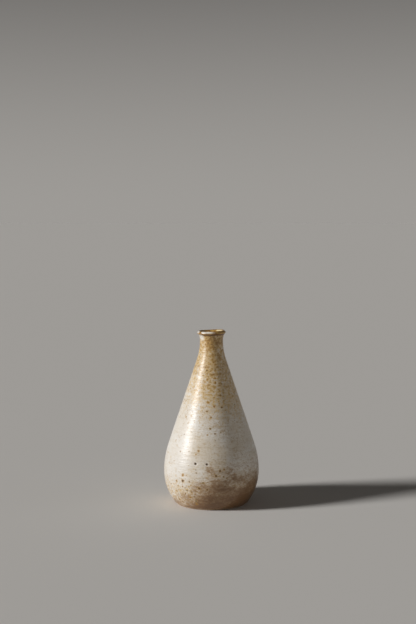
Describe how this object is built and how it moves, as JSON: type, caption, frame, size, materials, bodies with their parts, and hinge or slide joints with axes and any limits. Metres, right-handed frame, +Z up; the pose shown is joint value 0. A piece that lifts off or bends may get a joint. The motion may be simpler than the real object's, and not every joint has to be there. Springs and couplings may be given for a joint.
{
  "type": "bud vase",
  "caption": "Teardrop ceramic bud vase with a wide rounded belly, a long tapering neck, a small rolled lip and a trimmed foot ring.",
  "frame": {"origin": "on the table, at the centre of the foot ring", "axes": "+Z up along the vase's axis, from the foot to the mouth; the vase is round, so X and Y are free"},
  "size_m": [0.0824, 0.0824, 0.15],
  "materials": {
    "stoneware": "matte",
    "outer_glaze": "satin",
    "liner_glaze": "satin"
  },
  "bodies": {
    "root": {"stoneware_body": "stoneware", "outer_glaze": "outer_glaze", "liner_glaze": "liner_glaze"}
  },
  "joints": []
}
